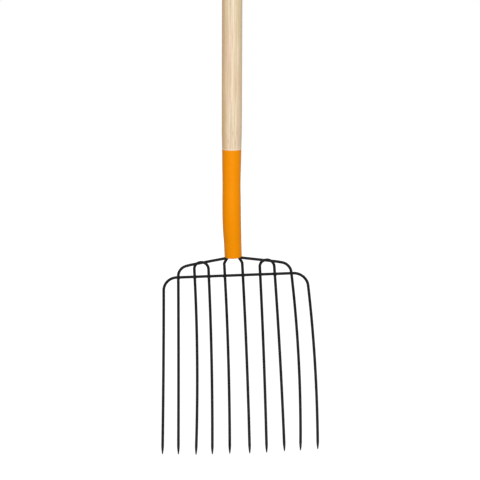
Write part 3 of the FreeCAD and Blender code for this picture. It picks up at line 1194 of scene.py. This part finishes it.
def bead_tree() -> Tree:
    """Builds the tree that puts an uneven bead of weld metal on each point.

    Returns:
        The Geometry Nodes tree.
    """
    tree = geometry_tree("weld_beads", (
        ("Bead Size", "NodeSocketVector", (4.0 * MILLIMETRE, 3.0 * MILLIMETRE, 4.0 * MILLIMETRE)),
        ("Unevenness", "NodeSocketFloat", 0.6 * MILLIMETRE),
        ("Ripple Pitch", "NodeSocketFloat", 2.2 * MILLIMETRE),
        ("Turn", "NodeSocketVector", (0.0, 0.0, 0.0)),
        ("Subdivisions", "NodeSocketInt", 5),
        ("Seed", "NodeSocketInt", 4),
        ("Finish", "NodeSocketMaterial", None),
    ))
    given = tree.nodes.new("NodeGroupInput").outputs
    points = add_node(tree, "GeometryNodeMeshToPoints", {"Mesh": given["Geometry"]})
    bead = add_node(tree, "GeometryNodeMeshIcoSphere", {"Radius": 1.0, "Subdivisions": given["Subdivisions"]})
    range_and_seed = {0: (SMALLEST_BEAD,) * 3, 1: (LARGEST_BEAD,) * 3, "Seed": given["Seed"]}
    vary = add_node(tree, "FunctionNodeRandomValue", range_and_seed, data_type="FLOAT_VECTOR")
    placed = add_node(tree, "GeometryNodeInstanceOnPoints", {
        "Points": points.outputs[0],
        "Instance": bead.outputs[0],
        "Rotation": given["Turn"],
        "Scale": calculate_vector(tree, "MULTIPLY", given["Bead Size"], vary.outputs[0]),
    })
    real = add_node(tree, "GeometryNodeRealizeInstances", {0: placed.outputs[0]})
    scale = calculate(tree, "DIVIDE", 1.0, given["Ripple Pitch"])
    noise = add_node(tree, "ShaderNodeTexNoise", {"Scale": scale, "Detail": 1.0})
    ripple = calculate(tree, "SUBTRACT", noise.outputs["Fac"], 0.5)
    lift = calculate(tree, "MULTIPLY", ripple, given["Unevenness"])
    normal = tree.nodes.new("GeometryNodeInputNormal").outputs[0]
    offset = add_node(tree, "ShaderNodeVectorMath", {0: normal, "Scale": lift}, operation="SCALE")
    moved = {"Geometry": real.outputs[0], "Offset": offset.outputs[0]}
    uneven = add_node(tree, "GeometryNodeSetPosition", moved)
    finish_tree(tree, uneven.outputs[0], given["Finish"])
    return tree


def solid_middles(node: Piece) -> list[Vector]:
    """Finds the middle of each solid of a CAD node.

    Args:
        node: the CAD node.

    Returns:
        The middles of the solids' boxes, from left to right.
    """
    mesh = bmesh.new()
    mesh.from_mesh(node.data)
    bmesh.ops.remove_doubles(mesh, verts=mesh.verts, dist=MERGE_DISTANCE)
    middles = []
    for group in connected_groups(mesh):
        low = Vector(min(corner.co[axis] for corner in group) for axis in range(3))
        high = Vector(max(corner.co[axis] for corner in group) for axis in range(3))
        middles.append((low + high) / 2.0)
    mesh.free()
    return sorted(middles, key=lambda middle: middle.x)


@dataclass
class TineHead:
    """Seven bent rods that make the ten tines, and the weld metal that joins them."""

    path: FerrulePath
    rod_diameter: float = 5.5 * MILLIMETRE
    turn_angle: float = 1.3
    point_length: float = 16.0 * MILLIMETRE
    point_profile: Pairs = ((0.0, 0.2), (0.03, 0.34), (0.3, 0.62), (0.6, 0.84), (0.94, 0.99), (1.0, 1.0))
    sides: int = 24
    bend_steps: int = 6
    crossing_bead: Triple = (3.9 * MILLIMETRE, 2.7 * MILLIMETRE, 3.9 * MILLIMETRE)
    loop_bead: Triple = (8.0 * MILLIMETRE, 2.3 * MILLIMETRE, 2.3 * MILLIMETRE)
    bead_unevenness: float = 1.1 * MILLIMETRE
    ripple_pitch: float = 2.4 * MILLIMETRE
    shoulder_slope: float = 0.16
    rods: tuple[tuple[str, Pointed], ...] = (
        ("outer_tine_bow", Pointed.BOTH),
        ("left_shoulder_tine", Pointed.LAST),
        ("right_shoulder_tine", Pointed.LAST),
        ("left_tine_loop", Pointed.BOTH),
        ("right_tine_loop", Pointed.BOTH),
        ("left_centre_tine", Pointed.LAST),
        ("right_centre_tine", Pointed.LAST),
    )

    def _build_rod(self, tree: Tree, node: str, pointed: Pointed) -> Piece:
        """Sweeps one rod along the centreline of its CAD node.

        Args:
            tree: the rods' Geometry Nodes tree.
            node: the CAD node's name.
            pointed: which ends are ground to points.

        Returns:
            The rod's object.
        """
        name = f"black_{node}"
        top_first = pointed is Pointed.LAST
        rings = rod_rings(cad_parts[node], lambda middle: -middle.z if top_first else middle.x)
        first, last = pointed.value
        return run_tree(rod_curve(name + "_line", rings), tree, name, {
            "Rod Radius": self.rod_diameter / 2.0,
            "Point Length": self.point_length,
            "First End Pointed": first,
            "Last End Pointed": last,
            "Sides": self.sides,
            "Steps": self.bend_steps,
        })

    def _build_beads(self, tree: Tree, name: str, node: str, size: Triple, slope: float) -> Piece:
        """Puts weld beads where a CAD node has them.

        Args:
            tree: the beads' Geometry Nodes tree.
            name: the new object's name.
            node: the CAD node's name.
            size: half sizes of a bead.
            slope: how steeply, in radians, the beads fall away from the head's middle.

        Returns:
            The beads' object.
        """
        lean = math.radians(self.path.side_angle + self.turn_angle)
        middle_x = self.path.place(self.path.length).translation.x
        joined = bmesh.new()
        for index, middle in enumerate(solid_middles(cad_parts[node])):
            spot = bpy.data.meshes.new(f"{name}_{index}")
            spot.from_pydata([middle], [], [])
            fall = slope if middle.x < middle_x else -slope
            bead = run_tree(add_object(spot.name, spot), tree, spot.name, {
                "Bead Size": size,
                "Unevenness": self.bead_unevenness,
                "Ripple Pitch": self.ripple_pitch,
                "Turn": (0.0, -fall - lean, 0.0),
                "Seed": index,
            })
            joined.from_mesh(bead.data)
            bpy.data.objects.remove(bead)
        mesh = bpy.data.meshes.new(name)
        joined.to_mesh(mesh)
        joined.free()
        mesh.shade_smooth()
        return add_object(name, mesh)

    def dress(self, coat: CoatFinish, weld: CoatFinish) -> None:
        """Builds the rods and beads and paints them.

        Args:
            coat: finish of the rods.
            weld: finish of the weld metal.
        """
        paint = coat.material()
        weld_paint = weld.material()
        tree = rod_tree(self.point_profile)
        for node, pointed in self.rods:
            finish_piece(self._build_rod(tree, node, pointed), paint, Slot.BLACK, node)
        tree = bead_tree()
        for name, node, size, slope in (
            ("crossbar_weld_beads", "crossbar_welds", self.crossing_bead, 0.0),
            ("loop_weld_beads", "loop_welds", self.loop_bead, self.shoulder_slope),
        ):
            finish_piece(self._build_beads(tree, name, node, size, slope), weld_paint, Slot.WELD, node)
        dress_node("shank_welds", weld_paint)


# Studio


def background_rays(tree: Tree) -> Socket:
    """Adds the mask of rays that see the background: from the camera, in glossy metal and through glass.

    Args:
        tree: the tree that gets the nodes.

    Returns:
        The mask's socket.
    """
    rays = add_node(tree, "ShaderNodeLightPath").outputs
    seen = calculate(tree, "MAXIMUM", rays["Is Camera Ray"], rays["Is Glossy Ray"])
    return calculate(tree, "MAXIMUM", seen, rays["Is Transmission Ray"])


@dataclass(frozen=True)
class Softbox:
    """Large square lamp that faces the fork."""

    name: str
    place: Triple
    power: float
    size: float = 1.6
    target: Triple = (0.0, 0.0, -0.6)

    def build(self) -> None:
        """Hangs the lamp."""
        data = bpy.data.lights.new(self.name, "AREA")
        data.size = self.size
        data.energy = self.power
        lamp = add_object(self.name, data)
        lamp.location = self.place
        lamp.rotation_mode = "QUATERNION"
        lamp.rotation_quaternion = (Vector(self.target) - Vector(self.place)).to_track_quat("-Z", "Y")


@dataclass
class Studio:
    """White room, a soft lamp in front, a weaker one behind, and the camera at the photograph's angle."""

    azimuth: float = 3.5
    elevation: float = 11.5
    roll: float = 0.23
    distance: float = 3.0
    aim_x: float = 16.4 * MILLIMETRE
    aim_drop: float = 175.6 * MILLIMETRE
    focal_pixels: float = 1562.5
    sensor_width: float = 36.0
    sight_length: float = 200.0
    floor_size: float = 60.0
    floor_gap: float = 30.0 * MILLIMETRE
    floor_colour: Triple = (0.22, 0.22, 0.22)
    floor_glow: float = 0.877
    world_strength: float = 0.56
    lamps: tuple[Softbox, ...] = (
        Softbox("front_softbox", (0.4, -3.2, 0.1), 75.0),
        Softbox("back_softbox", (-0.6, 3.2, 0.6), 40.0),
    )

    def build_camera(self, ferrule_top: float) -> None:
        """Puts the camera at the photograph's angle.

        Args:
            ferrule_top: height of the ferrule's top edge, which the aim point is measured from.
        """
        aim = Vector((self.aim_x, 0.0, ferrule_top - self.aim_drop))
        azimuth, elevation = math.radians(self.azimuth), math.radians(self.elevation)
        level = math.cos(elevation)
        back = Vector((math.sin(azimuth) * level, -math.cos(azimuth) * level, math.sin(elevation)))
        data = bpy.data.cameras.new("camera")
        data.sensor_width = self.sensor_width
        data.lens = self.focal_pixels * self.sensor_width / IMAGE_PIXELS
        data.clip_end = self.sight_length
        camera = add_object("camera", data)
        camera.location = aim + back * self.distance
        camera.rotation_mode = "QUATERNION"
        rolled = Quaternion((0.0, 0.0, 1.0), math.radians(self.roll))
        camera.rotation_quaternion = (-back).to_track_quat("-Z", "Y") @ rolled
        bpy.context.scene.camera = camera

    def build_world(self) -> None:
        """Lights everything softly from all round, with a white background."""
        world = bpy.data.worlds.new("soft_white_room")
        bpy.context.scene.world = world
        world.use_nodes = True
        tree = world.node_tree
        strength = map_range(tree, background_rays(tree), self.world_strength, 1.0)
        set_inputs(tree, tree.nodes["Background"], {"Color": WHITE, "Strength": strength})

    def build_floor(self) -> None:
        """Lays a matt floor under the points, which keeps a soft shadow.

        It is mid grey to the lamps, so that it throws little light up at the fork. A glow that only the
        camera and reflections see makes it white.
        """
        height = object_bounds()[0].z - self.floor_gap
        half = self.floor_size / 2.0
        mesh = bpy.data.meshes.new("white_floor")
        corners = [(-half, -half, height), (half, -half, height), (half, half, height), (-half, half, height)]
        mesh.from_pydata(corners, [], [(0, 1, 2, 3)])
        floor = add_object("white_floor", mesh)
        material, tree, shader = new_material("matt_white_floor")
        set_inputs(tree, shader, {
            "Base Color": (*self.floor_colour, 1.0),
            "Roughness": 1.0,
            "Specular IOR Level": 0.0,
            "Emission Color": WHITE,
            "Emission Strength": calculate(tree, "MULTIPLY", background_rays(tree), self.floor_glow),
        })
        mesh.materials.append(material)
        floor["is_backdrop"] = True

    def build(self, ferrule_top: float) -> None:
        """Builds the whole studio.

        Args:
            ferrule_top: height of the ferrule's top edge.
        """
        self.build_world()
        self.build_floor()
        for lamp in self.lamps:
            lamp.build()
        self.build_camera(ferrule_top)
        bpy.context.scene.view_settings.view_transform = "Standard"
        log.info("studio: camera, floor, lamps and world")


def main() -> None:
    """Builds and dresses the fork, then its studio."""
    logging.basicConfig(level=logging.INFO, format="%(message)s")
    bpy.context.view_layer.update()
    path = FerrulePath()
    ferrule = Ferrule(path)
    Handle(ferrule).dress(AshFinish())
    ferrule.dress(ORANGE_COAT, RivetFinish())
    TineHead(path).dress(BLACK_COAT, WELD_COAT)
    Studio().build(path.top.z)


if __name__ == "__main__":
    main()
